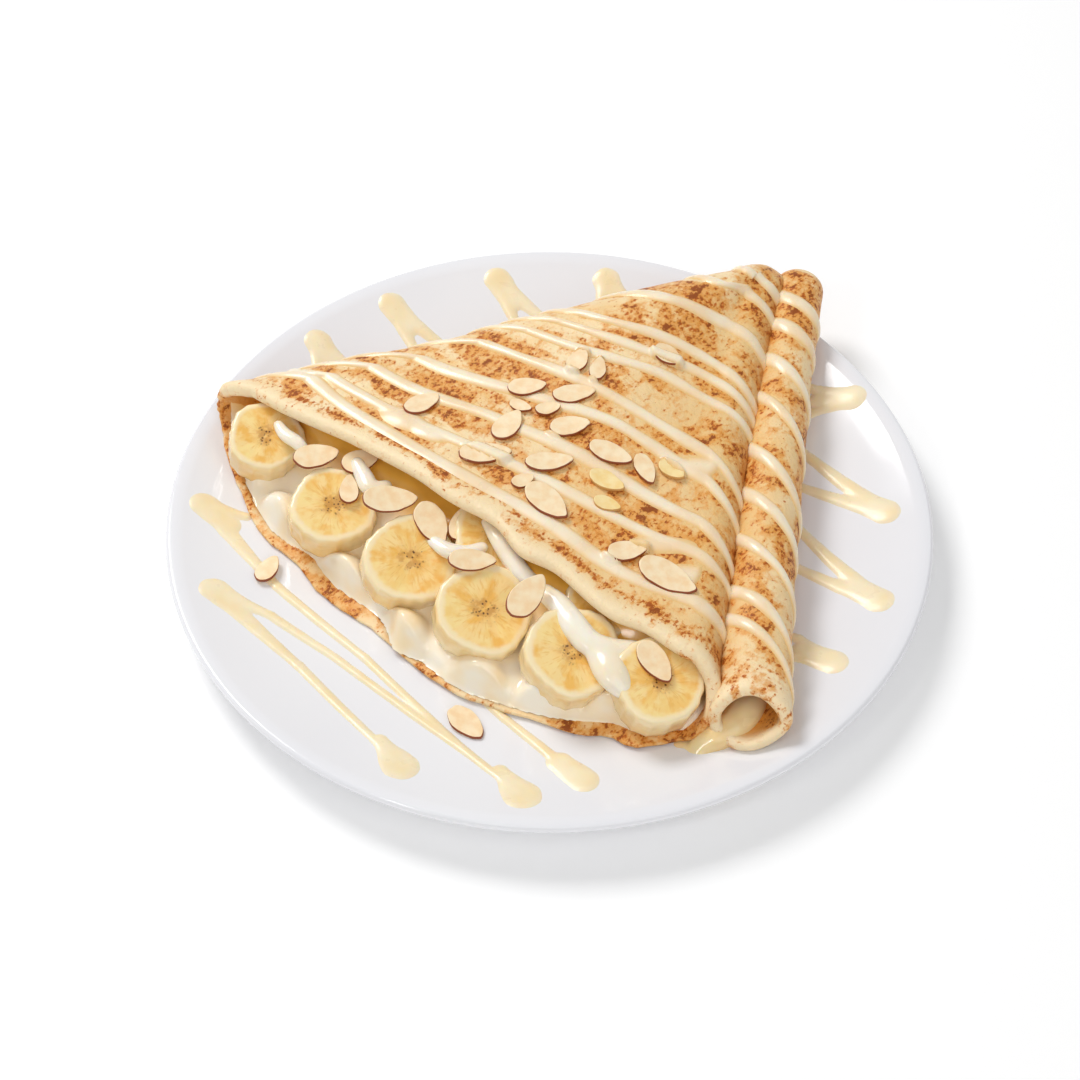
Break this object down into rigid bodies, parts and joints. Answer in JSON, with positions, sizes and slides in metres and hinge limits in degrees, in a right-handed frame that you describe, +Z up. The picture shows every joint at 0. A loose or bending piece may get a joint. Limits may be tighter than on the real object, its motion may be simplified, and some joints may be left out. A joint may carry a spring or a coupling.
{
  "type": "folded banana crepe on a plate",
  "caption": "Folded crepe wedge on a round plate, filled with banana slices and cream, with condensed milk drizzle and almond flakes.",
  "frame": {"origin": "middle of the plate's foot, on the table", "axes": "+Z up, +X to the right and +Y away from the viewer in the picture's view; the wedge's open front faces -X and -Y"},
  "size_m": [0.26, 0.26, 0.0436],
  "materials": {
    "glazed_ceramic": "smooth white glaze with glossy ivory drizzle lying on it",
    "crepe": "soft pale-gold batter with speckled brown toasting and glossy ivory drizzle",
    "cream": "glossy thick ivory cream",
    "banana": "moist pale-yellow fruit with brown seeds in the middle",
    "almond": "dry beige nut with a thin brown skin along its edge"
  },
  "bodies": {
    "root": {"plate": "glazed_ceramic", "crepe": "crepe", "cream_filling": "cream", "cream_spill": "cream", "banana_slice_1": "banana", "banana_slice_2": "banana", "banana_slice_3": "banana", "banana_slice_4": "banana", "banana_slice_5": "banana", "banana_slice_6": "banana", "banana_slice_7": "banana", "banana_slice_8": "banana", "almond_flake_01": "almond", "almond_flake_02": "almond", "almond_flake_03": "almond", "almond_flake_04": "almond", "almond_flake_05": "almond", "almond_flake_06": "almond", "almond_flake_07": "almond", "almond_flake_08": "almond", "almond_flake_09": "almond", "almond_flake_10": "almond", "almond_flake_11": "almond", "almond_flake_12": "almond", "almond_flake_13": "almond", "almond_flake_14": "almond", "almond_flake_15": "almond", "almond_flake_16": "almond", "almond_flake_17": "almond", "almond_flake_18": "almond", "almond_flake_19": "almond", "almond_flake_20": "almond", "almond_flake_21": "almond", "almond_flake_22": "almond", "almond_flake_23": "almond", "almond_flake_24": "almond", "almond_flake_25": "almond", "almond_flake_26": "almond", "almond_flake_27": "almond", "almond_flake_28": "almond", "almond_flake_29": "almond", "almond_flake_30": "almond", "almond_flake_31": "almond", "almond_flake_32": "almond"}
  },
  "joints": []
}
